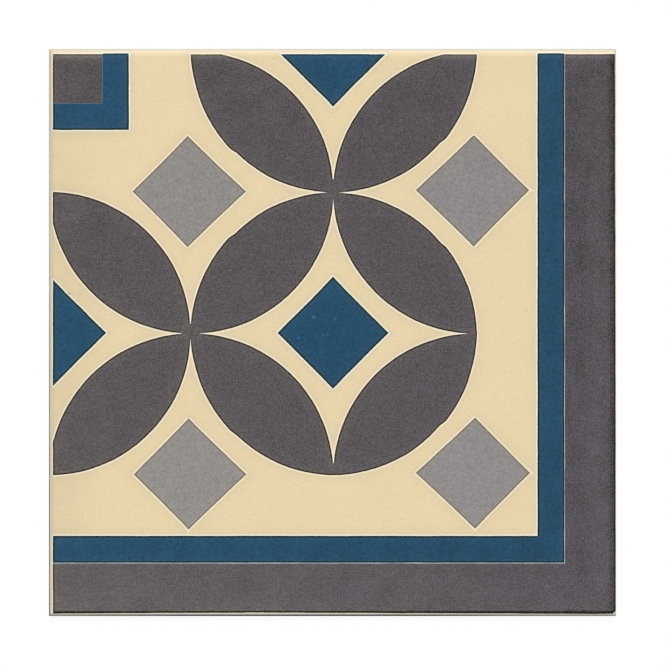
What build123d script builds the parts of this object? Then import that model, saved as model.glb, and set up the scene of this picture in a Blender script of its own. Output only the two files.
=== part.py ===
from build123d import *
import os

# Corner floor tile: one dust-pressed, glazed, printed and fired ceramic body, in millimetres.
# It lies face up. The origin is the middle of the back plane, +Z comes out of the glazed face,
# and the two border edges of the pattern are +X and -Y.

# Overall body
tile_size = 298.0         # work size
joint_width = 2.0         # grout joint to the next tile, which makes up a 300 mm module
tile_thickness = 9.0      # from the tops of the back ribs to the glazed face
plan_corner_radius = 0.6  # upright corners, seen from above

# Edges of the body
arris_radius = 2.1        # glazed front edge, rolled over and mitred at the corners
foot_bevel = 0.7          # eased lower edge that the press die leaves

# Keyed back: square pockets between raised ribs, which the adhesive fills
key_pitch = 25.0          # spacing of the ribs
rib_width = 4.0           # flat top of a rib
key_depth = 0.8           # how far the pockets are pressed in
key_draft = 40.0          # lean of the pocket walls, in degrees from upright
back_rim = 13.0           # least width of the plain rim round the pockets

# Printed face
print_margin = 2.4        # plain glaze left between the print and the tile's edge
petal_gap = 0.6           # glaze left between the tips of facing petals
diamond_reach = 29.3      # middle of a diamond to its points
dark_band_width = 24.8    # outer border band
band_gap = 0.7            # unprinted line between the two border bands
blue_band_width = 13.8    # inner border band

# The circles stand twice in a module, so that the pattern runs on from tile to tile
circle_pitch = (tile_size + joint_width) / 2
lattice_step = circle_pitch / 2
petal_radius = lattice_step - petal_gap / 2

# Border lines, as distances from the middle of the tile
half_tile = tile_size / 2
half_print = half_tile - print_margin
dark_band_start = half_print - dark_band_width
blue_band_end = dark_band_start - band_gap
blue_band_start = blue_band_end - blue_band_width


def edge_section():
    """Upright section across the tile, with a rolled arris above and an eased foot below."""
    section = Rectangle(tile_size, tile_thickness, align=(Align.CENTER, Align.MIN))
    section = fillet(section.vertices().group_by(Axis.Y)[-1], radius=arris_radius)
    return chamfer(section.vertices().group_by(Axis.Y)[0], length=foot_bevel)


def pressed_blank():
    """The body where two bars of the same section cross, so that the arrises meet in mitres."""
    bar = extrude(Plane.XZ * edge_section(), amount=half_tile, both=True)
    upright_corners = RectangleRounded(tile_size, tile_size, plan_corner_radius)
    return bar & Rot(0, 0, 90) * bar & extrude(upright_corners, amount=tile_thickness)


def back_keys():
    """The pockets of the keyed back, as many whole ones as the rim leaves room for."""
    pocket_size = key_pitch - rib_width
    keys_in_a_row = int((tile_size - 2 * back_rim + rib_width) // key_pitch)
    pocket = extrude(Rectangle(pocket_size, pocket_size), amount=key_depth, taper=key_draft)
    return [place * pocket for place in GridLocations(key_pitch, key_pitch, keys_in_a_row, keys_in_a_row)]


def petals(x, y, corners):
    """Lenses where the circle at a place overlaps the circles at some of its four corners."""
    circle = Circle(petal_radius)
    middle = Pos(x, y) * circle
    return [middle & Pos(x + i * lattice_step, y + j * lattice_step) * circle for i, j in corners]


def diamond(x, y):
    """A square standing on its point."""
    return Pos(x, y) * RegularPolygon(radius=diamond_reach, side_count=4)


def corner_square(reach):
    """The part of the print to the left of +reach and above -reach."""
    size = half_print + reach
    return Pos(-half_print, half_print) * Rectangle(size, size, align=(Align.MIN, Align.MAX))


def printed_figures():
    """Every printed patch of the face, trimmed to the printing screen."""
    screen = corner_square(half_print)
    figures = petals(0, 0, [(-1, -1), (-1, 1), (1, -1), (1, 1)])
    figures += petals(0, circle_pitch, [(-1, -1), (1, -1)])
    figures += petals(-circle_pitch, 0, [(1, -1), (1, 1)])
    figures += [diamond(x, y) for x, y in [(0, 0), (0, half_tile), (-half_tile, 0)]]
    figures += [diamond(x, y) for x in (-lattice_step, lattice_step) for y in (-lattice_step, lattice_step)]
    figures += [
        screen - corner_square(dark_band_start),
        corner_square(blue_band_end) - corner_square(blue_band_start),
        corner_square(-blue_band_start) - corner_square(-blue_band_end),
        corner_square(-dark_band_start),
    ]
    return [figure & screen for figure in figures]


def with_print(body):
    """The same solid with its glazed face parted along the printed outlines."""
    *other_faces, glazed_face = body.faces().sort_by(Axis.Z)
    raised = Pos(0, 0, tile_thickness)
    figures = [face for figure in printed_figures() for face in (raised * figure).faces()]
    plain_glaze = glazed_face - figures
    return Solid(Shell([*other_faces, *figures, *plain_glaze.faces()]))


corner_tile = with_print(pressed_blank() - back_keys())
corner_tile.label = "corner_tile"

os.makedirs("parts", exist_ok=True)
export_step(corner_tile, "parts/corner_tile.step")
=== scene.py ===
import math

import bpy
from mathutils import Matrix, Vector, geometry, kdtree, noise


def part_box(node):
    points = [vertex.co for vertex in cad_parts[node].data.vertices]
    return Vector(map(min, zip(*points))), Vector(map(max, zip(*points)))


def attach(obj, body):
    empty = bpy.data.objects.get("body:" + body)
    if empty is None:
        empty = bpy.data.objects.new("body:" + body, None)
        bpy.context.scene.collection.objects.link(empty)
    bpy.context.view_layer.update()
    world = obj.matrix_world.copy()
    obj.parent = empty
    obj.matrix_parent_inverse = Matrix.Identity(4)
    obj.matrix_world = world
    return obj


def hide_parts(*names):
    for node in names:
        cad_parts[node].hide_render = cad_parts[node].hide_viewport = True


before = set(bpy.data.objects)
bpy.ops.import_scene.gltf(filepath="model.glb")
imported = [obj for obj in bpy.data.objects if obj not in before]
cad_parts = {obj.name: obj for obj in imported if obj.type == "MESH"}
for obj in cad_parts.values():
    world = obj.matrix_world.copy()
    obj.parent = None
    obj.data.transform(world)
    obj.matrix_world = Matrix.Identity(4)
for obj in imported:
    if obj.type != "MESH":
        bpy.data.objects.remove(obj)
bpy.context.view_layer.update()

# Corner floor tile: a glazed and screen-printed face, a pale pressed body and a keyed back.
# Plan sizes are in millimetres from the middle of the tile, and meshes are in metres.
MM = 0.001

# Body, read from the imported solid
tile_low, tile_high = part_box("corner_tile")
HALF = (tile_high.x - tile_low.x) / 2 / MM
TOP = tile_high.z / MM

# Edges of the body
CORNER_RADIUS = 0.6       # upright corners, seen from above
ARRIS = 2.1               # radius of the rolled front edge
FOOT_BEVEL = 0.7          # eased lower edge
FOOT_RADIUS = 0.25        # upright corners of the bevelled foot
SIDE_STEPS = 180          # mesh steps along one edge of the tile
CORNER_STEPS = 4          # mesh steps round an upright corner
ARRIS_STEPS = 7           # mesh steps over the rolled edge
LEAST_RADIUS = 0.04       # upright corners never get sharper than this on the way over the edge
SIDE_HEIGHTS = (5.2, 2.6)  # mesh rows down a side
SHARP_ANGLE = math.radians(40)  # steeper folds of the skin than this stay crisp

# Keyed back
KEY_PITCH = 25.0
KEYS_IN_A_ROW = 11
KEY_STEPS = 3             # mesh steps along a side and round a corner of a pocket
# Rings down into a pocket: half width, corner radius, depth
KEY_RINGS = (
    (11.15, 2.3, 0.0),
    (10.8, 2.1, 0.0),
    (10.4, 1.8, 0.12),
    (9.95, 1.5, 0.66),
    (9.6, 1.2, 0.8),
    (9.25, 1.0, 0.8),
)

# Print: its outer edges on the face
PRINT_LEFT = -146.65
PRINT_RIGHT = 148.8
PRINT_TOP = 146.2
PRINT_LIMIT = 148.97      # the print stops short of the side itself
RIGHT_LEAN = 0.26         # the right edge runs out by this at the foot, and in at the top
CORNER_CUT = 1.4          # missing tip at the lower right corner of the print
# The lower edge of the print wanders: points along it from the left
PRINT_FOOT = (
    (-100, -147.42), (-43, -147.2), (10, -147.36), (62, -147.52), (115, -147.74), (147.5, -147.85)
)
PRINT_BOTTOM = -147.65    # at its left end

# Petals run from knot to knot, and their tips run together there
KNOTS = {
    "north": (0.6, 73.5),
    "west": (-74.5, -0.6),
    "south": (0.7, -74.95),
    "east": (76.1, -0.7),
    "top_left": (-74.25, 147.4),
    "top_right": (76.05, 147.7),
    "left_up": (-148.5, 73.7),
    "left_low": (-148.7, -75.0),
}
# Petals: the knots they join, in order round the middle of their ring, the bulge away from that middle,
# the bulge towards it, and the step in the outer arc, where two sweeps of the knife missed each other,
# with its place between -1 and 1 along the arc
PETALS = (
    ("north", "west", 21.3, 22.05, -0.95, 0.02),
    ("west", "south", 21.2, 22.1, 0.7, 0.0),
    ("south", "east", 21.3, 22.27, -0.95, 0.12),
    ("east", "north", 21.35, 21.98, 0.85, -0.13),
    ("top_left", "north", 21.3, 22.3, 0.95, 0.0),
    ("north", "top_right", 21.36, 22.3, -0.95, 0.12),
    ("left_low", "west", 21.88, 21.55, 0.0, 0.0),
    ("west", "left_up", 21.85, 21.53, 0.0, 0.0),
)
STEP_OUTSIDE = 0.75       # share of half the arc over which the outer sweep comes back to it
STEP_INSIDE = 0.4         # the same for the inner sweep
STEP_LENGTH = 0.035       # share of half the arc over which the step jumps
TIP_OVERLAP = 0.12        # ink spread that closes the meeting points

# Necks of glaze between two petals that the ink has closed: the knot, and how far out from it
NECKS = (
    ("north", (0.0, 6.9)),
    ("south", (0.0, 6.3)),
    ("west", (0.0, 5.1)),
    ("west", (-4.6, 0.0)),
)
NECK_HALF_WIDTH = 0.3     # half the width of the ink that closes them

# Diamonds: ink, middle, and reach to the right, up, left and down
DIAMONDS = (
    ("light_grey_ink", (-75.9, 74.0), (30.75, 29.25, 29.05, 29.3)),
    ("light_grey_ink", (74.4, 74.7), (29.25, 29.1, 30.55, 29.7)),
    ("light_grey_ink", (-75.4, -74.5), (30.5, 29.4, 28.9, 29.1)),
    ("light_grey_ink", (75.1, -73.8), (28.95, 29.15, 31.3, 29.4)),
    ("blue_ink", (0.5, -0.3), (29.2, 29.55, 29.3, 29.4)),
    ("blue_ink", (0.5, 147.9), (29.35, 29.35, 29.35, 29.35)),
    ("blue_ink", (-147.9, -0.25), (29.3, 29.25, 29.35, 29.35)),
)
DIAMOND_HOLLOW = -0.17    # the sides bow in a little between their corners

# Border bands, and the small corner they leave at the upper left
DARK_BAND = (122.3, -121.42)
BLUE_BAND_IN = (107.86, -106.86)
BLUE_BAND_OUT = (121.9, -120.9)
CORNER_SQUARE = (-120.8, 120.5)
CORNER_BAND_IN = (-120.5, 120.2)
CORNER_BAND_OUT = (-106.74, 106.34)
LINE_OVERLAP = 0.5        # how far the tinted glaze between two bands runs under them
BLUE_RISE = 0.35          # the blue screen sits a little higher than the dark one
PETAL_DROP = 0.15         # the petals stop a little lower than the dark bands
PRINT_SHIFT = (-0.17, 0.05)  # how far off the middle the screens lay

# Printed outlines
OUTLINE_STEP = 0.9        # spacing of the points along an outline
WAVER_SEED = 5            # keeps the waver below the same from run to run
SLOW_WAVER = 0.14         # how far the cut edge strays slowly
SLOW_WAVER_LENGTH = 11
FINE_WAVER = 0.07         # how far it strays quickly
FINE_WAVER_LENGTH = 2.7
# Each ink strays in its own way, and the tinted lines stray with the dark ink
INK_SEEDS = {"tinted_line": 3.1, "charcoal_ink": 3.1, "blue_ink": 17.4, "light_grey_ink": 41.8}
INK_THICKNESS = 0.035     # how far the fired ink stands on the glaze
INK_SHOULDER = 0.35       # width over which it rises from its edge
SHOULDER_OFFSETS = (0.2, 0.5, 0.6, 1.1, 1.2)  # distances from an outline that get rows of points
SHOULDER_SPACING = 0.3    # those points lie about this far apart
OPEN_GLAZE = 1.3          # narrower glaze than this is a neck, and the rims of the ink fade beside it
NECK_STEP = 0.1           # how closely the width of a neck is measured
NECK_LOOK = 1.0           # it is also measured at this angle to both sides, in radians
MARKS_A_SEGMENT = 6       # points for the search trees on each segment of an outline
CORNER_LINE = -99         # x less y is below this along the corner's tinted line, which has no bead
LINE_EASE = 0.25          # edges along the tinted lines are softer, as if they were farther off
FAR_FROM_EDGE = 9.0       # distances to an outline are not told apart beyond this
GRID_STEP = 4.0           # spacing of the points on plain stretches
GLAZE_WAVE = 0.025        # slow unevenness of the glaze
GLAZE_WAVE_LENGTH = 38
WORN_AND_SHADED_EDGE = 0.47          # width of the rubbed strip at the very edge of the face, which also carries painted shade
SHADED_FOOT_WIDTH = 0.8           # the same along the lower edge, where the strip carries painted shade

# Small marks: middle, half width and half height, and how strongly they show
BLUE_MARKS = (
    ((-9.9, 8.1), (1.9, 0.9), 0.45),
    ((-17.7, -2.9), (0.6, 0.75), 0.55),
    ((-4.9, -1.1), (0.8, 0.8), 0.45),
    ((-2.5, -1.1), (0.7, 0.8), 0.36),
    ((1.5, 6.9), (0.5, 1.2), 0.36),
    ((8.2, -12.6), (0.4, 2.4), 0.16),
)
CREAM_MARKS = (
    ((-138.2, 20.5), (0.85, 0.65), 0.8),
    ((-136.4, 19.6), (0.5, 0.4), 0.3),
    ((-132.9, 20.0), (2.4, 0.5), 0.13),
    ((-140.2, 31.5), (0.6, 0.5), 0.2),
    ((-142.1, 28.4), (0.5, 0.6), 0.2),
    ((-58.3, -96.1), (0.6, 0.5), 0.2),
    ((95.4, -5.5), (0.5, 0.7), 0.16),
)


# Plan curves

def rounded_square(half, radius, steps=SIDE_STEPS, corner_steps=CORNER_STEPS):
    """Points anticlockwise round a square, from the left end of its lower side."""
    points = []
    for quarter in range(4):
        turn = quarter * math.pi / 2
        straight = half - radius
        for i in range(steps):
            along = straight * (2 * i / steps - 1)
            points.append(turned(Vector((along, -half)), turn))
        for i in range(corner_steps):
            angle = -math.pi / 2 + math.pi / 2 * i / corner_steps
            arm = Vector((math.cos(angle), math.sin(angle))) * radius
            points.append(turned(Vector((straight, -straight)) + arm, turn))
    return points


def turned(point, angle):
    """The point turned anticlockwise about the middle of the tile."""
    cosine, sine = math.cos(angle), math.sin(angle)
    return Vector((point.x * cosine - point.y * sine, point.x * sine + point.y * cosine))


def run(start, end, bulge=0.0, step=0.0, step_place=0.0):
    """Points from start up to end, on a line or on an arc that bulges to the right of it.

    An arc may step inwards at some place along it, or outwards if the step is negative.
    """
    chord = (end - start).length
    ahead = (end - start) / chord
    right = Vector((ahead.y, -ahead.x))
    steps = max(1, math.ceil(chord / OUTLINE_STEP))
    if not bulge:
        return [start.lerp(end, i / steps) for i in range(steps)]
    spread = 2 * math.atan(2 * bulge / chord)
    radius = chord / 2 / math.sin(spread)
    points = []
    for i in range(steps):
        share = 2 * i / steps - 1
        along = chord / 2 + radius * math.sin(spread * share)
        rise = radius * (math.cos(spread * share) - math.cos(spread))
        past = share - step_place
        near = max(0.0, 1 - abs(past) / (STEP_INSIDE if past * step > 0 else STEP_OUTSIDE))
        rise -= step / 2 * near * max(-1.0, min(1.0, past / STEP_LENGTH))
        points.append(start + ahead * along + right * rise)
    return points


def polygon(*corners):
    """Points round straight sides."""
    corners = [Vector(corner) for corner in corners]
    return [point for a, b in zip(corners, corners[1:] + corners[:1]) for point in run(a, b)]


def petal(start, end, outward, inward, step, step_place):
    """A lens between two knots, with its tips drawn out so that they close on their neighbours."""
    start, end = Vector(KNOTS[start]), Vector(KNOTS[end])
    stretch = (end - start).normalized() * TIP_OVERLAP
    start, end = start - stretch, end + stretch
    return run(start, end, outward, step, step_place) + run(end, start, inward)


def neck(knot, reach):
    """A narrow strip of ink from a knot outwards, which closes the glaze between two petals."""
    start, ahead = Vector(KNOTS[knot]), Vector(reach)
    side = Vector((-ahead.y, ahead.x)).normalized() * NECK_HALF_WIDTH
    return polygon(start - side, start + ahead - side, start + ahead + side, start + side)


def diamond(middle, reaches):
    """A square on its point, cut by hand, so that its four reaches differ a little."""
    x, y = middle
    right, up, left, down = reaches
    corners = [Vector(corner) for corner in ((x + right, y), (x, y + up), (x - left, y), (x, y - down))]
    sides = zip(corners, corners[1:] + corners[:1])
    return [point for a, b in sides for point in run(a, b, DIAMOND_HOLLOW)]


def corner_band(inner, outer, top):
    """A band that runs down from the top of the print and turns along to its left edge."""
    return polygon(
        (inner[0], top), inner, (PRINT_LEFT, inner[1]), (PRINT_LEFT, outer[1]), outer, (outer[0], top)
    )


def clipped(points, axis, limit, side):
    """The part of a convex outline on one side of a level or upright line."""
    kept = []
    for a, b in zip(points, points[1:] + points[:1]):
        a_in = (limit - a[axis]) * side >= 0
        b_in = (limit - b[axis]) * side >= 0
        if a_in:
            kept.append(a)
        if a_in != b_in:
            kept.append(a.lerp(b, (limit - a[axis]) / (b[axis] - a[axis])))
    sides = [(a, b) for a, b in zip(kept, kept[1:] + kept[:1]) if (b - a).length > 1e-6]
    return [point for a, b in sides for point in run(a, b)]


def screened(points, top):
    """An outline trimmed by the left and upper edges of the printing screen."""
    return clipped(clipped(points, 0, PRINT_LEFT, -1), 1, top, 1)


def hand_cut(points, seed):
    """An outline with the small waver of a screen that was cut by hand."""
    place = Vector((0, 0, seed))
    wavered = []
    for point in points:
        at = point.to_3d()
        slow = noise.noise_vector(at / SLOW_WAVER_LENGTH + place) * SLOW_WAVER
        fine = noise.noise_vector(at / FINE_WAVER_LENGTH + place) * FINE_WAVER
        moved = point + Vector(PRINT_SHIFT) + (slow + fine).to_2d()
        wavered.append(Vector((min(moved.x, PRINT_LIMIT), moved.y)))
    return wavered


def tinted_line(inner, outer, top):
    """The narrow strip of glaze between two bands, with a little more on each side."""
    spare = Vector((LINE_OVERLAP, -LINE_OVERLAP))
    return corner_band(Vector(inner) - spare, Vector(outer) + spare, top)


def printed_figures():
    """Every printed patch of the face, as an ink and an outline."""
    blue_top = PRINT_TOP + BLUE_RISE
    dark_right_top = (PRINT_RIGHT - RIGHT_LEAN, PRINT_TOP)
    dark_right_foot = (PRINT_RIGHT + RIGHT_LEAN, PRINT_FOOT[-1][1] + CORNER_CUT)
    figures = [
        ("tinted_line", tinted_line(BLUE_BAND_OUT, DARK_BAND, PRINT_TOP)),
        ("tinted_line", tinted_line(CORNER_SQUARE, CORNER_BAND_IN, PRINT_TOP)),
    ]
    for sizes in PETALS:
        figures.append(("charcoal_ink", screened(petal(*sizes), PRINT_TOP - PETAL_DROP)))
    for knot, reach in NECKS:
        figures.append(("charcoal_ink", neck(knot, reach)))
    for ink, middle, reaches in DIAMONDS:
        figures.append((ink, screened(diamond(middle, reaches), PRINT_TOP)))
    figures.append(("blue_ink", corner_band(BLUE_BAND_IN, BLUE_BAND_OUT, blue_top)))
    figures.append(("blue_ink", corner_band(CORNER_BAND_IN, CORNER_BAND_OUT, blue_top)))
    figures.append(("charcoal_ink", polygon(
        (PRINT_LEFT, PRINT_TOP), (PRINT_LEFT, CORNER_SQUARE[1]),
        CORNER_SQUARE, (CORNER_SQUARE[0], PRINT_TOP),
    )))
    figures.append(("charcoal_ink", polygon(
        (DARK_BAND[0], PRINT_TOP), DARK_BAND, (PRINT_LEFT, DARK_BAND[1]), (PRINT_LEFT, PRINT_BOTTOM),
        *PRINT_FOOT, dark_right_foot, dark_right_top,
    )))
    noise.seed_set(WAVER_SEED)
    return [(ink, hand_cut(outline, INK_SEEDS[ink])) for ink, outline in figures]


# Face

class Plan:
    """Points, lines and outlines of a plan, to be filled with triangles."""

    def __init__(self):
        self.points = []
        self.lines = []
        self.outlines = []

    def loop(self, points, as_outline=False):
        """Adds a closed line, and gives the indices of its points."""
        first = len(self.points)
        self.points += points
        indices = list(range(first, first + len(points)))
        if as_outline:
            self.outlines.append(indices)
        else:
            self.lines += zip(indices, indices[1:] + indices[:1])
        return indices

    def triangles(self):
        """Points, triangles, the outlines round each triangle, and the new index of each old point."""
        points, _, faces, origins, _, owners = geometry.delaunay_2d_cdt(
            self.points, self.lines, self.outlines, 0, 1e-5
        )
        places = {old: new for new, olds in enumerate(origins) for old in olds}
        return points, faces, owners, places


def inks_of(owners, figures):
    """The ink of each triangle, or the bare glaze."""
    return [figures[max(owner)][0] if owner else "cream_glaze" for owner in owners]


def print_borders(figures):
    """Seen edges of the print: the two ends of each segment, and what lies to its left and right."""
    plan = Plan()
    plan.loop(rounded_square(HALF, CORNER_RADIUS))
    for _, outline in figures:
        plan.loop(outline, as_outline=True)
    points, faces, owners, _ = plan.triangles()
    sides = {}
    for face, ink in zip(faces, inks_of(owners, figures)):
        for a, b in zip(face, face[1:] + face[:1]):
            sides[a, b] = ink
    borders = []
    for (a, b), ink in sides.items():
        other = sides.get((b, a), ink)
        if a < b and other != ink:
            borders.append((points[a], points[b], ink, other))
    return borders


def on_glaze(point, border):
    """Whether a point lies on the glaze side of the border nearest to it."""
    a, b, left_ink, right_ink = border
    ahead = b - a
    arm = point - a
    on_left = ahead.x * arm.y - ahead.y * arm.x > 0
    return (left_ink if on_left else right_ink) == "cream_glaze"


def glaze_width(start, way, borders, tree):
    """How far plain glaze goes on from a border, up to where it counts as open."""
    width = 0.0
    while width < OPEN_GLAZE:
        point = start + way * (width + NECK_STEP)
        if not on_glaze(point, borders[tree.find(point.to_3d())[1] // MARKS_A_SEGMENT]):
            break
        width += NECK_STEP
    return width


def narrowness(border, borders, tree):
    """0 where open glaze lies beside a dark border, rising to 1 where a neck of glaze closes."""
    a, b, left_ink, _ = border
    if "charcoal_ink" not in border or (b - a).length < NECK_STEP / 2:
        return 0.0
    ahead = (b - a).normalized()
    left = Vector((-ahead.y, ahead.x))
    outward = left if left_ink == "cream_glaze" else -left
    middle = a.lerp(b, 0.5)
    ways = [turned(outward, angle) for angle in (-NECK_LOOK, 0.0, NECK_LOOK)]
    widths = [glaze_width(middle, way, borders, tree) for way in ways]
    return max(0.0, 1 - min(widths) / OPEN_GLAZE)


def settled(values, borders):
    """The values of borders, each replaced by the median of those close by."""
    middles = kdtree.KDTree(len(borders))
    for i, (a, b, _, _) in enumerate(borders):
        middles.insert(a.lerp(b, 0.5).to_3d(), i)
    middles.balance()
    result = []
    for a, b, _, _ in borders:
        near = sorted(values[i] for _, i, _ in middles.find_range(a.lerp(b, 0.5).to_3d(), OPEN_GLAZE))
        result.append(near[len(near) // 2])
    return result


def tree_of(borders):
    """A search tree for the nearest place on some segments."""
    shares = [i / (MARKS_A_SEGMENT - 1) for i in range(MARKS_A_SEGMENT)]
    marks = [border[0].lerp(border[1], share) for border in borders for share in shares]
    tree = kdtree.KDTree(len(marks))
    for i, mark in enumerate(marks):
        tree.insert(mark.to_3d(), i)
    tree.balance()
    return tree


def shoulder_points(borders, tree):
    """Points a little to each side of the printed edges, where the ink rises and its rim lies."""
    points = {}
    for a, b, _, _ in borders:
        if (b - a).length < 1e-4:
            continue
        ahead = (b - a).normalized()
        left = Vector((-ahead.y, ahead.x))
        for offset in SHOULDER_OFFSETS:
            for side in (left, -left):
                point = a.lerp(b, 0.5) + side * offset
                if tree.find(point.to_3d())[2] > 0.9 * offset:
                    cell = (round(point.x / SHOULDER_SPACING), round(point.y / SHOULDER_SPACING))
                    points.setdefault(cell, point)
    reach = HALF - SHOULDER_SPACING
    return [point for point in points.values() if max(abs(point.x), abs(point.y)) < reach]


def grid_points(tree):
    """An even grid on the stretches that lie clear of the print's edges."""
    count = int((HALF - ARRIS - 1) // GRID_STEP)
    places = [i * GRID_STEP for i in range(-count, count + 1)]
    points = [Vector((x, y)) for x in places for y in places]
    return [point for point in points if tree.find(point.to_3d())[2] > GRID_STEP / 2]


def arris_drop(distance):
    """How far the rolled edge lies below the face, at a distance in from the tile's side."""
    inward = max(0.0, ARRIS - distance)
    return ARRIS - math.sqrt(max(0.0, ARRIS * ARRIS - inward * inward))


def edge_drop(point):
    """Drop of the face towards its edges, with the mitres at the corners a little softened."""
    first, second = (arris_drop(HALF - abs(point[axis])) for axis in (0, 1))
    softness = 0.5 * min(first, second)
    drop = max(first, second)
    if softness:
        drop += softness / 4 * max(0.0, 1 - abs(first - second) / softness) ** 2
    return min(drop, ARRIS)


def smooth_step(share):
    """A rise from 0 to 1 that is level at both ends."""
    share = min(1.0, max(0.0, share))
    return share * share * (3 - 2 * share)


class Skin:
    """The tile's one closed surface, gathered patch by patch."""

    def __init__(self):
        self.points = []
        self.edge_distance = []
        self.blue_distance = []
        self.neck = []
        self.faces = []
        self.finishes = []
        self.places = []

    def add_points(self, points, edge_distance=None, blue_distance=None, neck=None):
        """Adds points in millimetres, and gives the index of the first."""
        first = len(self.points)
        far = [FAR_FROM_EDGE] * len(points)
        self.points += points
        self.edge_distance += edge_distance or far
        self.blue_distance += blue_distance or far
        self.neck += neck or [0.0] * len(points)
        return first

    def add_face(self, face, finish, chart):
        """Adds one face, its finish and its place on the texture map."""
        self.faces.append(face)
        self.finishes.append(finish)
        self.places += [chart(self.points[i]) for i in face]


# Texture map: the face, the back in two parts, and the four sides in strips
MAP_GAP = 0.008
MAP_FACE = 0.80
ARRIS_LENGTH = ARRIS * math.pi / 2
FACE_REACH = HALF - ARRIS + ARRIS_LENGTH
FACE_SCALE = MAP_FACE / (2 * FACE_REACH)
COLUMN = MAP_FACE + 3 * MAP_GAP
BACK_SPLIT = KEY_PITCH / 2
BACK_SCALE = (1 - MAP_GAP - COLUMN) / (HALF + BACK_SPLIT)


def unrolled(value):
    """A plan coordinate with the rolled edge laid out flat."""
    over = min(ARRIS, max(0.0, abs(value) - (HALF - ARRIS)))
    return math.copysign(abs(value) - over + ARRIS * math.asin(over / ARRIS), value)


def face_chart(point):
    """Place of a point of the glazed face."""
    return tuple(MAP_GAP + (unrolled(point[axis]) + FACE_REACH) * FACE_SCALE for axis in (0, 1))


def back_chart(left_part):
    """Chart of one part of the back, on either side of the split."""
    edge, row = (-HALF, 0) if left_part else (BACK_SPLIT, 1)
    base = MAP_GAP + row * (2 * HALF * BACK_SCALE + 2 * MAP_GAP)
    return lambda point: (COLUMN + (point.x - edge) * BACK_SCALE, base + (point.y + HALF) * BACK_SCALE)


def side_chart(quarter):
    """Chart of one side of the tile, by quarter turns from the lower side."""
    base = COLUMN + MAP_GAP + quarter * (TOP * FACE_SCALE + 2 * MAP_GAP)

    def chart(point):
        along = turned(point.to_2d(), -quarter * math.pi / 2).x
        up = point.z - max(0.0, FOOT_BEVEL - point.z) * (math.sqrt(2) - 1)
        return MAP_GAP + (along + FACE_REACH) * FACE_SCALE, base + up * FACE_SCALE

    return chart


def add_face_patch(skin):
    """Lays the glazed and printed face, and gives the indices of its outer edge."""
    figures = printed_figures()
    borders = print_borders(figures)
    tree = tree_of(borders)
    glaze_edges = [border for border in borders if "cream_glaze" in border]
    glaze_tree = tree_of(glaze_edges)
    narrow = settled([narrowness(border, borders, tree) for border in glaze_edges], glaze_edges)
    blue_edges = [border for border in borders if "blue_ink" in border]
    line_edges = [border for border in blue_edges if "tinted_line" in border]
    line_tree = tree_of([border for border in line_edges if border[0].x - border[0].y > CORNER_LINE])
    blue_tree = tree_of([border for border in blue_edges if "cream_glaze" in border])
    plan = Plan()
    for _, outline in figures:
        plan.loop(outline, as_outline=True)
    rim = plan.loop(rounded_square(HALF, CORNER_RADIUS))
    for i in range(1, ARRIS_STEPS + 1):
        inset = ARRIS * (1 - math.cos(math.pi / 2 * i / ARRIS_STEPS))
        plan.loop(rounded_square(HALF - inset, max(LEAST_RADIUS, CORNER_RADIUS - inset)))
    plan.points += shoulder_points(borders, tree) + grid_points(tree)
    flat, faces, owners, places = plan.triangles()
    inks = inks_of(owners, figures)
    inked = {i for face, ink in zip(faces, inks) if ink.endswith("ink") for i in face}
    dark = {i for face, ink in zip(faces, inks) if ink == "charcoal_ink" for i in face}
    points, edge_distance, blue_distance, neck = [], [], [], []
    for i, point in enumerate(flat):
        place = point.to_3d()
        wave = noise.noise(place / GLAZE_WAVE_LENGTH) * GLAZE_WAVE
        height = TOP - GLAZE_WAVE - edge_drop(point) + wave
        if i in inked:
            height += INK_THICKNESS * smooth_step(tree.find(place)[2] / INK_SHOULDER)
        points.append(Vector((point.x, point.y, height)))
        _, mark, away = glaze_tree.find(place)
        neck.append(narrow[mark // MARKS_A_SEGMENT])
        nearest = min(FAR_FROM_EDGE, away)
        if i not in dark:
            nearest = min(nearest, line_tree.find(place)[2] + LINE_EASE)
        edge_distance.append(nearest)
        blue_distance.append(min(FAR_FROM_EDGE, blue_tree.find(place)[2]))
    first = skin.add_points(points, edge_distance, blue_distance, neck)
    for face, ink in zip(faces, inks):
        inset = HALF - min(max(abs(flat[i].x), abs(flat[i].y)) for i in face)
        at_foot = max(flat[i].y for i in face) < SHADED_FOOT_WIDTH - HALF
        # Glaze at the very edge and along the foot takes the rubbed strip's finish, which also carries
        # painted shade
        worn = ink == "cream_glaze" and (inset < WORN_AND_SHADED_EDGE or at_foot)
        skin.add_face([first + i for i in face], "worn_and_shaded_edge" if worn else ink, face_chart)
    return [first + places[i] for i in rim]


def add_sides(skin, rim):
    """Lays the four sides and the bevelled foot, and gives the indices of the foot's edge."""
    upright = rounded_square(HALF, CORNER_RADIUS)
    foot = rounded_square(HALF - FOOT_BEVEL, FOOT_RADIUS)
    rows = [(upright, height) for height in (*SIDE_HEIGHTS, FOOT_BEVEL)] + [(foot, 0.0)]
    charts = [side_chart(quarter) for quarter in range(4)]
    upper = rim
    count = len(rim)
    for outline, height in rows:
        first = skin.add_points([Vector((point.x, point.y, height)) for point in outline])
        lower = list(range(first, first + count))
        for i in range(count):
            j = (i + 1) % count
            if i % (SIDE_STEPS + CORNER_STEPS) >= SIDE_STEPS + CORNER_STEPS // 2:
                quarter = (i // (SIDE_STEPS + CORNER_STEPS) + 1) % 4
            else:
                quarter = i // (SIDE_STEPS + CORNER_STEPS)
            skin.add_face([lower[i], lower[j], upper[j], upper[i]], "pressed_body", charts[quarter])
        upper = lower
    return upper


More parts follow.
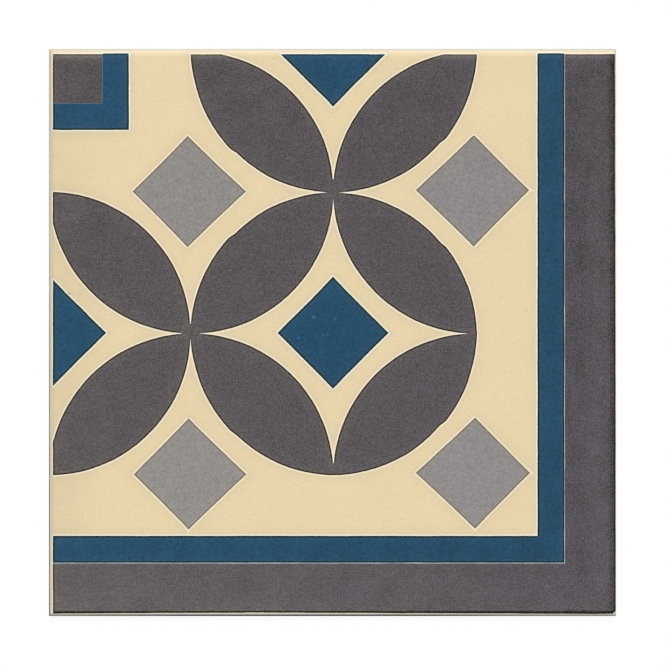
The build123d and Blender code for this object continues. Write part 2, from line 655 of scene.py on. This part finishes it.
def add_back(skin, foot):
    """Lays the keyed back inside the edge of the foot."""
    plan = Plan()
    edge = plan.loop([skin.points[i].to_2d() for i in foot])
    heights = [0.0] * len(edge)
    middle = (KEYS_IN_A_ROW - 1) / 2
    for row in range(KEYS_IN_A_ROW):
        for column in range(KEYS_IN_A_ROW):
            place = Vector((column - middle, row - middle)) * KEY_PITCH
            for half, radius, depth in KEY_RINGS:
                outline = rounded_square(half, radius, KEY_STEPS, KEY_STEPS)
                ring = plan.loop([place + point for point in outline])
                heights += [depth] * len(ring)
    ends = len(plan.points)
    reach = HALF - FOOT_BEVEL
    plan.points += [Vector((BACK_SPLIT, -reach)), Vector((BACK_SPLIT, reach))]
    plan.lines.append((ends, ends + 1))
    flat, faces, _, places = plan.triangles()
    depth_of = {new: heights[old] for old, new in places.items() if old < len(heights)}
    points = [Vector((point.x, point.y, depth_of.get(i, 0.0))) for i, point in enumerate(flat)]
    first = skin.add_points(points)
    joined = {places[old]: foot[i] for i, old in enumerate(edge)}
    charts = {part: back_chart(part) for part in (True, False)}
    for face in faces:
        middle_x = sum(flat[i].x for i in face) / 3
        corners = [joined.get(i, first + i) for i in reversed(face)]
        skin.add_face(corners, "pressed_body", charts[middle_x < BACK_SPLIT])


# Finishes

# Colours, as they are seen on a screen, from 0 to 255
GLAZE_COLOUR = (231, 211.7, 171.4)
THIN_GLAZE_AND_SHEEN_COLOUR = (234, 225, 204)    # over the rolled edge: thin glaze with a painted sheen
DULL_GLAZE_COLOUR = (207, 196, 181)    # outside the pale line beside the print
PALE_LINE_COLOUR = (252, 243, 222)     # the pale line itself
PALE_BY_BLUE_COLOUR = (240, 250, 238)  # the same beside the blue
NECK_COLOUR = (255, 252, 246)          # glaze in the necks between petals
SHADED_FOOT_COLOUR = (186, 187, 177)          # painted shade on the strip along the lower edge
WORN_COLOUR = (232, 224, 204)          # rubbed glaze at the other edges
# painted shadow line at the very edge along the foot and the lower left
SHADE_LINE_COLOUR = (24, 22, 18)
CREAM_MARK_COLOUR = (72, 78, 74)
BLUE_MARK_COLOUR = (90, 124, 150)
LINE_DARK_COLOUR = (138, 154, 168)     # the tinted lines between two bands
LINE_LIGHT_COLOUR = (172, 184, 190)
LINE_CORNER_COLOUR = (96, 110, 126)    # the same in the upper left corner
CLAY_COLOUR = (206, 188, 160)
SIDE_GLAZE_COLOUR = (214, 202, 176)

GRAIN_LENGTH = 0.85       # size of the grain in the inks


def linear(red, green, blue):
    """A colour as it is seen on a screen, from 0 to 255, as the light that it gives back."""
    def one(value):
        value /= 255
        return value / 12.92 if value < 0.04045 else ((value + 0.055) / 1.055) ** 2.4
    return one(red), one(green), one(blue)


class Finish:
    """A material's nodes, made in short calls that hand back sockets."""

    def __init__(self, name):
        self.material = bpy.data.materials.new(name)
        self.material.use_nodes = True
        self.tree = self.material.node_tree
        self.tree.nodes.clear()
        position = self.node("ShaderNodeTexCoord").outputs["Object"]
        self.place = self.vector("SCALE", position, scale=1 / MM)

    def node(self, kind, **settings):
        """A new node with some of its settings."""
        made = self.tree.nodes.new(kind)
        for name, value in settings.items():
            setattr(made, name, value)
        return made

    def put(self, socket, value):
        """Links or sets an input."""
        if isinstance(value, bpy.types.NodeSocket):
            self.tree.links.new(value, socket)
        else:
            socket.default_value = value

    def math(self, operation, *values):
        """Arithmetic on numbers."""
        made = self.node("ShaderNodeMath", operation=operation)
        for socket, value in zip(made.inputs, values):
            self.put(socket, value)
        return made.outputs[0]

    def vector(self, operation, first, second=None, scale=None):
        """Arithmetic on vectors and colours."""
        made = self.node("ShaderNodeVectorMath", operation=operation)
        self.put(made.inputs[0], first)
        if second is not None:
            self.put(made.inputs[1], second)
        if scale is not None:
            self.put(made.inputs["Scale"], scale)
        return made.outputs["Value" if operation == "LENGTH" else "Vector"]

    def noise(self, period, detail=1.0, shift=0.0, stretch=(1, 1, 1)):
        """Noise about zero, with a period in millimetres."""
        place = self.vector("MULTIPLY_ADD", self.place, stretch)
        place.node.inputs[2].default_value = (shift, shift / 3, -shift)
        made = self.node("ShaderNodeTexNoise")
        self.put(made.inputs["Vector"], place)
        made.inputs["Scale"].default_value = 1 / period
        made.inputs["Detail"].default_value = detail
        return self.math("SUBTRACT", made.outputs["Fac"], 0.5)

    def between(self, share, first, second):
        """A blend of two numbers."""
        return self.math("MULTIPLY_ADD", self.math("SUBTRACT", second, first), share, first)

    def mix(self, share, first, second):
        """A blend of two colours."""
        made = self.node("ShaderNodeMix", data_type="RGBA")
        self.put(made.inputs[0], share)
        self.put(made.inputs[6], first)
        self.put(made.inputs[7], second)
        return made.outputs[2]

    def ramp(self, value, start, end, low=0.0, high=1.0):
        """A smooth change from low to high while the value goes from start to end."""
        made = self.node("ShaderNodeMapRange", interpolation_type="SMOOTHSTEP")
        for socket, number in zip(made.inputs, (value, start, end, low, high)):
            self.put(socket, number)
        return made.outputs[0]

    def total(self, *terms):
        """The sum of socket and weight pairs."""
        result = 0.0
        for socket, weight in terms:
            result = self.math("MULTIPLY_ADD", socket, weight, result)
        return result

    def parts(self, place=None):
        """The three coordinates of a place, in millimetres."""
        made = self.node("ShaderNodeSeparateXYZ")
        self.put(made.inputs[0], place or self.place)
        return made.outputs[0], made.outputs[1], made.outputs[2]

    def to_side(self):
        """Distance in from the nearest side of the tile, in millimetres."""
        x, y, _ = self.parts(self.vector("ABSOLUTE", self.place))
        return self.math("SUBTRACT", HALF, self.math("MAXIMUM", x, y))

    def measure(self, name):
        """One of the mesh's measures: a distance to printed edges in millimetres, or the neck."""
        return self.node("ShaderNodeAttribute", attribute_name=name).outputs["Fac"]

    def marked(self, marks):
        """How strongly some small marks show from place to place."""
        share = 0.0
        for (x, y), (width, height), strength in marks:
            away = self.vector("SUBTRACT", self.place, (x, y, 0.0))
            away = self.vector("MULTIPLY", away, (1 / width, 1 / height, 0.0))
            shown = self.ramp(self.vector("LENGTH", away), 0.4, 1.0, strength, 0.0)
            share = self.math("MAXIMUM", shown, share)
        return share

    def surface(self, colour, roughness, bump, bump_depth, specular):
        """Closes the material with a shader."""
        relief = self.node("ShaderNodeBump")
        relief.inputs["Distance"].default_value = bump_depth * MM
        self.put(relief.inputs["Height"], bump)
        shader = self.node("ShaderNodeBsdfPrincipled")
        self.put(shader.inputs["Base Color"], colour)
        self.put(shader.inputs["Roughness"], roughness)
        self.put(shader.inputs["Normal"], relief.outputs["Normal"])
        shader.inputs["Specular IOR Level"].default_value = specular
        output = self.node("ShaderNodeOutputMaterial")
        self.tree.links.new(shader.outputs["BSDF"], output.inputs["Surface"])
        return self.material


def opaque(red, green, blue):
    """A screen colour with its fourth channel."""
    return (*linear(red, green, blue), 1.0)


def ink_shade(finish, grain, cloud, thin, drift, seed):
    """How light or dark an ink is from place to place, about 1.

    The border bands have streaks and a slow ridge along them. The ink is darker with painted shade where
    it rolls over the right edge and along the foot, and lighter by the share thin at the top of the print.
    """
    x, y, _ = finish.parts()
    to_side = finish.to_side()
    border = finish.ramp(to_side, 36.0, 44.0, 1.0, 0.0)
    slow = finish.noise(15.0, 2.0, seed + 7)
    clouds = finish.math("MULTIPLY", slow, finish.math("MULTIPLY_ADD", border, 0.8 * cloud, 0.5 * cloud))
    band = finish.ramp(finish.math("MAXIMUM", x, finish.math("MULTIPLY", y, -1.0)), 119.0, 122.0)
    across = finish.noise(2.4, 2.0, seed + 43, (0.1, 1.0, 1.0))
    down = finish.noise(2.4, 2.0, seed + 47, (1.0, 0.1, 1.0))
    upright = finish.ramp(finish.math("ADD", x, y), -5.0, 5.0)
    streaks = finish.math("MULTIPLY", finish.between(upright, across, down), band)
    slant = finish.math("MULTIPLY", finish.total((x, -0.0005), (y, -0.0004), (1.0, 0.06)), band)
    rise = finish.ramp(to_side, 18.0, 10.5, -0.07, 0.06)
    fall = finish.ramp(to_side, 9.0, 3.0, 0.0, -0.1)
    ridge_share = finish.math("MULTIPLY", band, finish.between(upright, 0.4, 1.0))
    ridge = finish.math("MULTIPLY", finish.math("ADD", rise, fall), ridge_share)
    fine_grain = finish.noise(GRAIN_LENGTH, 1.0, seed)
    coarse_grain = finish.noise(2.4, 1.0, seed + 3)
    grains = finish.total((fine_grain, grain), (coarse_grain, grain / 4))
    specks = finish.ramp(finish.noise(2.1, 0.0, seed + 53), 0.29, 0.34, 0.0, 0.18 * grain)
    # Painted shade: darker where the ink rolls over the right edge and along the foot
    rolled = finish.ramp(x, HALF - 5.0, HALF - 1.4, 0.0, -0.45)
    painted_foot_shade = finish.ramp(y, 3.2 - HALF, 2.45 - HALF, 0.0, -0.92)
    thinned = finish.ramp(y, PRINT_TOP - 4.2, PRINT_TOP, 0.0, thin)
    terms = [(part, 1.0) for part in (grains, clouds, slant, ridge, specks, rolled, painted_foot_shade, thinned)]
    shade = finish.total((x, drift[0]), (y, drift[1]), (1.0, 1.0), (streaks, 0.6 * cloud), *terms)
    return finish.math("MAXIMUM", shade, 0.1)


def ink_finish(
    name, seed, cool, warm, rim_colour, bead_colour, bead_width, grain, cloud, thin, sheer, drift, marks=()
):
    """A fired ink: fine grain, slow clouds, a slow change of hue, and a tinted rim with a dark bead.

    Just inside the bead the ink is thin, so that a little of the glaze shows through it. The rim and
    the bead fade beside necks of glaze.
    """
    finish = Finish(name)
    x, y, _ = finish.parts()
    inward = finish.measure("edge_distance")
    hue = finish.ramp(finish.total((finish.noise(30.0, 2.0, seed + 19), 1.6), (x, 0.0035)), -0.5, 0.5)
    body = finish.mix(hue, opaque(*warm), opaque(*cool))
    beside_open = finish.ramp(finish.measure("neck"), 0.35, 0.85, 1.0, 0.0)
    rim = finish.math("MULTIPLY", finish.ramp(inward, 0.7, 1.5, 0.8, 0.0), beside_open)
    tinted = finish.mix(rim, body, opaque(*rim_colour))
    narrow = finish.ramp(inward, 1.5, 2.2, 0.025 * sheer, 0.0)
    wide = finish.ramp(inward, 2.0, 8.0, 0.012 * sheer, 0.0)
    shoulder = finish.math("MULTIPLY", finish.math("ADD", narrow, wide), finish.ramp(inward, 0.8, 1.2))
    sheered = finish.mix(shoulder, tinted, opaque(*GLAZE_COLOUR))
    base = finish.vector("SCALE", sheered, scale=ink_shade(finish, grain, cloud, thin, drift, seed))
    if marks:
        base = finish.mix(finish.marked(marks), base, opaque(*BLUE_MARK_COLOUR))
    bead = finish.ramp(inward, 0.4, bead_width, 0.92, 0.0)
    bead = finish.math("MULTIPLY", bead, finish.ramp(y, PRINT_TOP - 1.8, PRINT_TOP - 0.9, 1.0, 0.2))
    bead = finish.math("MULTIPLY", bead, beside_open)
    roughness = finish.math("MULTIPLY_ADD", finish.noise(3.0, 2.0, seed + 31), 0.3, 0.48)
    relief = finish.noise(GRAIN_LENGTH, 1.0, seed)
    return finish.surface(finish.mix(bead, base, opaque(*bead_colour)), roughness, relief, 0.012, 0.1)


def cream_finish():
    """The plain glaze: warm cream, faint mottle, a pale line beside the print and thin, worn edges, with
    painted light, sheen and shade over the rolled edge.
    """
    finish = Finish("cream_glaze")
    x, y, _ = finish.parts()
    fine = finish.noise(1.1, 1.0, 2.0)
    slow = finish.noise(22.0, 2.0, 5.0)
    soiled = finish.ramp(x, -HALF, -112.0, -0.07, 0.0)
    beside = finish.ramp(finish.measure("edge_distance"), 1.5, 7.5, -0.035, 0.0)
    specks = finish.ramp(finish.noise(2.6, 0.0, 71.0), 0.30, 0.36, 0.0, -0.12)
    terms = ((fine, 0.12), (slow, 0.08), (soiled, 1.0), (beside, 1.0), (specks, 1.0), (1.0, 1.0))
    flat = finish.vector("SCALE", linear(*GLAZE_COLOUR), scale=finish.total(*terms))
    flat = finish.mix(finish.marked(CREAM_MARKS), flat, opaque(*CREAM_MARK_COLOUR))
    # Over the rolled edge the glaze is paler: thin glaze, and partly a painted sheen
    thin = finish.ramp(finish.to_side(), 0.8, ARRIS + 0.4, 0.8, 0.0)
    paled = finish.mix(thin, flat, opaque(*THIN_GLAZE_AND_SHEEN_COLOUR))
    outward = finish.measure("edge_distance")
    dip = finish.math("MULTIPLY", finish.ramp(outward, 0.8, 1.3), finish.ramp(outward, 1.4, 2.4, 0.3, 0.0))
    dulled = finish.mix(dip, paled, opaque(*DULL_GLAZE_COLOUR))
    halo = finish.ramp(outward, 0.3, 1.05, 0.7, 0.0)
    by_blue = finish.ramp(finish.measure("blue_distance"), 1.0, 2.0, 1.0, 0.0)
    pale_line = finish.mix(by_blue, opaque(*PALE_LINE_COLOUR), opaque(*PALE_BY_BLUE_COLOUR))
    lined = finish.mix(halo, dulled, pale_line)
    in_neck = finish.ramp(finish.measure("neck"), 0.1, 0.45, 0.0, 0.8)
    in_neck = finish.math("MULTIPLY", in_neck, finish.ramp(outward, 0.6, 1.2, 1.0, 0.0))
    lined = finish.mix(in_neck, lined, opaque(*NECK_COLOUR))
    # Over the rolled edge: painted light along the top, where the lamp falls on it, a little darker just
    # inside the top side, and darker along the left
    left = finish.ramp(x, 0.8 - HALF, 3.5 - HALF, -0.18, 0.0)
    upper = finish.ramp(y, HALF - 4.4, HALF - 2.4, 0.0, 0.12)
    verge = finish.ramp(y, HALF - 1.5, HALF - 0.8, 0.0, -0.09)
    shade = finish.total((left, 1.0), (upper, 1.0), (verge, 1.0), (1.0, 1.0))
    margin = finish.vector("SCALE", lined, scale=shade)
    # Painted shade on the rolled edge along the foot, which faces away from the lamp
    foot = finish.ramp(y, 2.0 - HALF, 1.0 - HALF, 0.0, 0.85)
    colour = finish.mix(foot, margin, opaque(*SHADED_FOOT_COLOUR))
    roughness = finish.math("MULTIPLY_ADD", finish.noise(4.0, 2.0, 11.0), 0.25, 0.42)
    return finish.surface(colour, roughness, fine, 0.006, 0.1)


def edge_finish():
    """The rubbed strip at the very edge, with a painted shadow line in it along the foot and the lower
    left side.
    """
    finish = Finish("worn_and_shaded_edge")
    x, y, _ = finish.parts()
    patches = finish.noise(9.0, 3.0, 29.0)
    # Painted shadow: a dark line at the very edge along the foot and the lower left side
    left_share = finish.math("ADD", finish.ramp(y, 120.0, -140.0, 0.1, 1.0), patches)
    left = finish.math("MULTIPLY", finish.ramp(x, 1.0 - HALF, 0.6 - HALF), left_share)
    off_middle = finish.math("ABSOLUTE", finish.math("ADD", x, 16.0))
    foot_share = finish.ramp(off_middle, 20.0, 150.0, 1.2, 0.35)
    foot_share = finish.math("ADD", foot_share, finish.math("MULTIPLY", patches, 0.5))
    foot = finish.math("MULTIPLY", finish.ramp(y, 0.79 - HALF, 0.72 - HALF), foot_share)
    at_foot = finish.ramp(y, 1.2 - HALF, 1.0 - HALF)
    pale = finish.mix(at_foot, opaque(*WORN_COLOUR), opaque(*SHADED_FOOT_COLOUR))
    unlined = finish.vector("SCALE", pale, scale=finish.total((patches, 0.2), (1.0, 1.0)))
    on_top = finish.ramp(finish.to_side(), 0.06, 0.16)
    shade_line = finish.math("MULTIPLY", finish.math("MAXIMUM", left, foot), on_top)
    colour = finish.mix(shade_line, unlined, opaque(*SHADE_LINE_COLOUR))
    roughness = finish.math("MULTIPLY_ADD", patches, 0.2, 0.8)
    return finish.surface(colour, roughness, finish.noise(0.6, 2.0, 31.0), 0.03, 0.0)


def line_finish():
    """Glaze between two bands, clouded by the ink on both sides of it, most of all in the corner."""
    finish = Finish("tinted_line")
    x, y, _ = finish.parts()
    uneven = finish.ramp(finish.noise(7.0, 3.0, 13.0), -0.2, 0.2)
    clear = finish.mix(uneven, opaque(*LINE_DARK_COLOUR), opaque(*LINE_LIGHT_COLOUR))
    corner = finish.ramp(finish.math("SUBTRACT", x, y), -200.0, -160.0, 1.0, 0.0)
    colour = finish.mix(corner, clear, opaque(*LINE_CORNER_COLOUR))
    fine = finish.noise(1.2, 1.0, 2.0)
    roughness = finish.math("MULTIPLY_ADD", fine, 0.25, 0.42)
    return finish.surface(colour, roughness, fine, 0.006, 0.1)


def body_finish():
    """Pale pressed clay with glaze run down over the top of the sides."""
    finish = Finish("pressed_body")
    fine = finish.noise(0.6, 3.0, 1.0)
    slow = finish.noise(18.0, 3.0, 9.0)
    _, _, height = finish.parts()
    run_line = finish.total((finish.noise(11.0, 3.0, 4.0), 3.2), (finish.noise(2.4, 2.0, 6.0), 0.9))
    glazed = finish.ramp(finish.math("ADD", height, run_line), 5.2, 5.5)
    shade = finish.math("ADD", finish.total((fine, 0.35), (slow, 0.25)), 1.0)
    clay = finish.vector("SCALE", linear(*CLAY_COLOUR), scale=shade)
    colour = finish.mix(glazed, clay, opaque(*SIDE_GLAZE_COLOUR))
    roughness = finish.ramp(glazed, 0.0, 1.0, 0.85, 0.42)
    return finish.surface(colour, roughness, fine, 0.06, 0.1)


def make_finishes():
    """The tile's materials by name."""
    made = [
        cream_finish(),
        edge_finish(),
        line_finish(),
        ink_finish(
            "charcoal_ink", seed=3.0, cool=(83.8, 79.2, 84.4), warm=(84.7, 79.9, 82.0),
            rim_colour=(84, 72, 56), bead_colour=(26, 18, 8), bead_width=1.0,
            grain=1.9, cloud=0.4, thin=0.6, sheer=1.0, drift=(-0.00026, -0.0004),
        ),
        ink_finish(
            "blue_ink", seed=23.0, cool=(25.5, 70.8, 98.2), warm=(26.3, 71.8, 100),
            rim_colour=(20, 56, 64), bead_colour=(3, 22, 18), bead_width=1.2,
            grain=1.05, cloud=0.34, thin=0.25, sheer=0.45, drift=(-0.0003, 0.0001), marks=BLUE_MARKS,
        ),
        ink_finish(
            "light_grey_ink", seed=57.0, cool=(141.1, 137.1, 137.3), warm=(141.8, 137.8, 135),
            rim_colour=(141, 132, 119), bead_colour=(122, 111, 94), bead_width=1.05,
            grain=0.75, cloud=0.14, thin=0.0, sheer=1.0, drift=(-0.0002, -0.0003),
        ),
        body_finish(),
    ]
    return {material.name: material for material in made}


def make_tile():
    """The whole tile as one closed mesh."""
    skin = Skin()
    add_back(skin, add_sides(skin, add_face_patch(skin)))
    finishes = make_finishes()
    mesh = bpy.data.meshes.new("printed_tile")
    mesh.from_pydata([point * MM for point in skin.points], [], skin.faces)
    for material in finishes.values():
        mesh.materials.append(material)
    order = {name: i for i, name in enumerate(finishes)}
    mesh.polygons.foreach_set("material_index", [order[name] for name in skin.finishes])
    for name in ("edge_distance", "blue_distance", "neck"):
        mesh.attributes.new(name, "FLOAT", "POINT").data.foreach_set("value", getattr(skin, name))
    places = mesh.uv_layers.new(name="OFBake")
    places.data.foreach_set("uv", [number for place in skin.places for number in place])
    mesh.polygons.foreach_set("use_smooth", [True] * len(mesh.polygons))
    mesh.set_sharp_from_angle(angle=SHARP_ANGLE)
    tile = bpy.data.objects.new("printed_tile", mesh)
    bpy.context.scene.collection.objects.link(tile)
    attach(tile, "root")
    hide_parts("corner_tile")


# Studio

FLOOR_DROP = 0.2          # the floor lies just below the ribs of the back
FLOOR_REACH = 4000.0
FLOOR_OPENING = 148.5     # the floor is open under the tile, so that its back can be seen
AMBIENT = 0.5             # share of the light that comes from all round
SHADOW_SHARE = 0.09       # how much of the floor's shadow shows on the white
FLOOR_BOUNCE = 0.4        # share of the light that the floor throws back at the tile
KEY_DIRECTION = Vector((0, 0.39, 0.92))  # towards the lamp above
BELOW_DIRECTION = Vector((-0.4, -0.75, -0.8))  # towards the lamp below the floor
LAMP_WIDTH = math.radians(25)  # how broad the lamps look from the tile
FRAME_WIDTH = 349.28      # what the picture takes in across the face
CAMERA_SHIFT = (0.03, 0.0)
CAMERA_DISTANCE = 3500.0


def seen_directly(tree):
    """A socket that is 1 for rays that show a surface, and 0 for those that only light another."""
    path = tree.nodes.new("ShaderNodeLightPath")
    highest = path.outputs["Is Camera Ray"]
    for name in ("Is Glossy Ray", "Is Transmission Ray"):
        larger = tree.nodes.new("ShaderNodeMath")
        larger.operation = "MAXIMUM"
        tree.links.new(highest, larger.inputs[0])
        tree.links.new(path.outputs[name], larger.inputs[1])
        highest = larger.outputs[0]
    return highest


def make_world():
    """White to the eye, and an even soft light on the tile."""
    world = bpy.data.worlds.new("studio")
    world.use_nodes = True
    tree = world.node_tree
    tree.nodes.clear()
    strength = tree.nodes.new("ShaderNodeMapRange")
    tree.links.new(seen_directly(tree), strength.inputs["Value"])
    strength.inputs["To Min"].default_value = AMBIENT
    background = tree.nodes.new("ShaderNodeBackground")
    background.inputs["Color"].default_value = (1, 1, 1, 1)
    tree.links.new(strength.outputs[0], background.inputs["Strength"])
    output = tree.nodes.new("ShaderNodeOutputWorld")
    tree.links.new(background.outputs[0], output.inputs["Surface"])
    bpy.context.scene.world = world


def make_floor():
    """A white floor that keeps the tile's shadow, open from below."""
    inner, outer = (
        [(x * MM, y * MM, -FLOOR_DROP * MM) for x, y in ((-r, -r), (r, -r), (r, r), (-r, r))]
        for r in (FLOOR_OPENING, FLOOR_REACH)
    )
    mesh = bpy.data.meshes.new("floor")
    mesh.from_pydata(inner + outer, [], [(i, 4 + i, 4 + (i + 1) % 4, (i + 1) % 4) for i in range(4)])
    material = bpy.data.materials.new("floor")
    material.use_nodes = True
    tree = material.node_tree
    tree.nodes.clear()

    def mixed(share, first, second):
        made = tree.nodes.new("ShaderNodeMixShader")
        if isinstance(share, float):
            made.inputs[0].default_value = share
        else:
            tree.links.new(share, made.inputs[0])
        tree.links.new(first, made.inputs[1])
        tree.links.new(second, made.inputs[2])
        return made.outputs[0]

    def diffuse(level):
        made = tree.nodes.new("ShaderNodeBsdfDiffuse")
        made.inputs["Color"].default_value = (level, level, level, 1)
        return made.outputs[0]

    glow = tree.nodes.new("ShaderNodeEmission").outputs[0]
    seen_floor = mixed(SHADOW_SHARE, glow, diffuse(1.0))
    from_above = mixed(seen_directly(tree), diffuse(FLOOR_BOUNCE), seen_floor)
    facing = tree.nodes.new("ShaderNodeNewGeometry").outputs["Backfacing"]
    clear = tree.nodes.new("ShaderNodeBsdfTransparent").outputs[0]
    output = tree.nodes.new("ShaderNodeOutputMaterial")
    tree.links.new(mixed(facing, from_above, clear), output.inputs["Surface"])
    mesh.materials.append(material)
    floor = bpy.data.objects.new("floor", mesh)
    bpy.context.scene.collection.objects.link(floor)


def make_light(name, direction):
    """One broad even lamp, far off in a direction."""
    lamp = bpy.data.lights.new(name, "SUN")
    lamp.angle = LAMP_WIDTH
    lamp.energy = (1 - AMBIENT) * math.pi / abs(direction.normalized().z)
    made = bpy.data.objects.new(name, lamp)
    made.rotation_euler = direction.to_track_quat("Z", "Y").to_euler()
    bpy.context.scene.collection.objects.link(made)


def make_lights():
    """A lamp beyond the upper edge of the tile, and one below the floor, across the ribs of its back."""
    make_light("key", KEY_DIRECTION)
    make_light("from_below", BELOW_DIRECTION)


def make_camera():
    """A long lens straight above the face."""
    data = bpy.data.cameras.new("camera")
    data.lens = data.sensor_width * CAMERA_DISTANCE / FRAME_WIDTH
    camera = bpy.data.objects.new("camera", data)
    camera.location = Vector((*CAMERA_SHIFT, TOP + CAMERA_DISTANCE)) * MM
    bpy.context.scene.collection.objects.link(camera)
    bpy.context.scene.camera = camera


bpy.context.scene.view_settings.view_transform = "Standard"
make_tile()
make_world()
make_floor()
make_lights()
make_camera()
